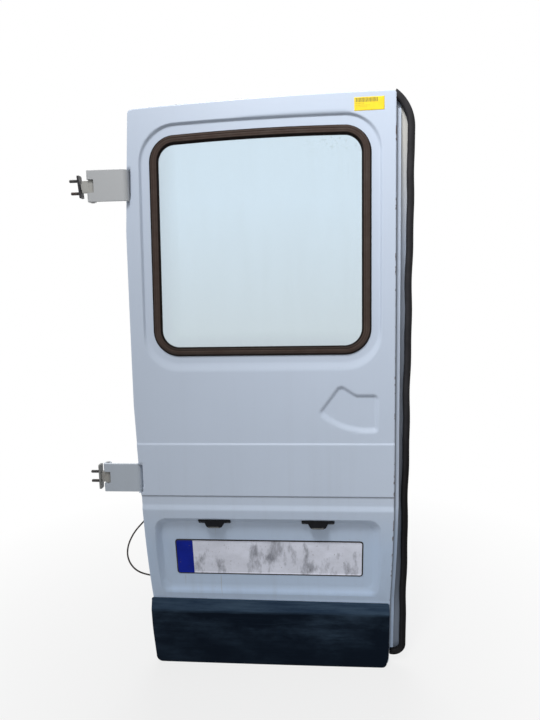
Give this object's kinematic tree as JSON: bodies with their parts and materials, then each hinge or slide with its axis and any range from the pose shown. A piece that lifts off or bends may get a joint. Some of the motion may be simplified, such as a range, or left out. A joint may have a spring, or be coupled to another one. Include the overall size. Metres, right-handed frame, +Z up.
{
  "type": "van rear barn door",
  "caption": "Van rear barn door, off its van: pressed steel leaf with rubber-set window, number plate recess with lamps, lower trim, exposed hinges and meeting edge seal.",
  "frame": {"origin": "middle of the lower hinge bracket's mounting face, level with the hinge pins' line in depth", "axes": "+X across the door from the hinges to the meeting edge, +Y from the outside in, +Z up along the hinge pins"},
  "size_m": [0.8759, 0.1198, 1.5598],
  "materials": {
    "door_paint": "pale silver blue paint, weathered",
    "inner_paint": "pale silver blue paint, thinner coat",
    "glass": "clear glass",
    "window_rubber": "brown black rubber",
    "strip_rubber": "black rubber",
    "trim_plastic": "scuffed navy black plastic",
    "plate": "dull white plate",
    "lamp_plastic": "black plastic",
    "lens": "clear lens",
    "seal_rubber": "dark grey rubber",
    "upper_arm_paint": "beige grey paint",
    "lower_arm_paint": "pale silver blue paint",
    "pin_steel": "dull steel",
    "dark_bracket": "near black paint",
    "grey_bracket": "light grey paint",
    "stud_steel": "dark steel",
    "cable_rubber": "dark grey brown sheath",
    "latch_steel": "zinc plated steel",
    "lever_plastic": "black plastic"
  },
  "bodies": {
    "pillar_brackets": {"upper_hinge_bracket": "dark_bracket", "lower_hinge_bracket": "grey_bracket", "upper_stud_top": "stud_steel", "upper_stud_bottom": "stud_steel", "lower_stud_top": "stud_steel", "lower_stud_bottom": "stud_steel"},
    "door_leaf": {"outer_skin": "door_paint", "inner_panel": "inner_paint", "window_glass": "glass", "window_gasket": "window_rubber", "gasket_locking_strip": "strip_rubber", "lower_trim": "trim_plastic", "number_plate": "plate", "plate_lamp_left": "lamp_plastic", "plate_lamp_right": "lamp_plastic", "plate_lamp_lens_left": "lens", "plate_lamp_lens_right": "lens", "meeting_edge_seal": "seal_rubber", "upper_hinge_arm": "upper_arm_paint", "lower_hinge_arm": "lower_arm_paint", "upper_hinge_pin": "pin_steel", "lower_hinge_pin": "pin_steel", "upper_hinge_reinforcement": "inner_paint", "lower_hinge_reinforcement": "inner_paint", "cable_loop": "cable_rubber", "upper_cable_grommet": "cable_rubber", "lower_cable_grommet": "cable_rubber", "upper_latch": "latch_steel", "lower_latch": "latch_steel", "upper_lock_rod": "latch_steel", "lower_lock_rod": "latch_steel", "release_lever": "lever_plastic"}
  },
  "joints": [
    {"name": "door_swing", "type": "hinge", "parent": "pillar_brackets", "child": "door_leaf", "pos_m": [0.0245, 0, 0], "axis": [0, 0, 1], "range_deg": [-90, 90]}
  ]
}
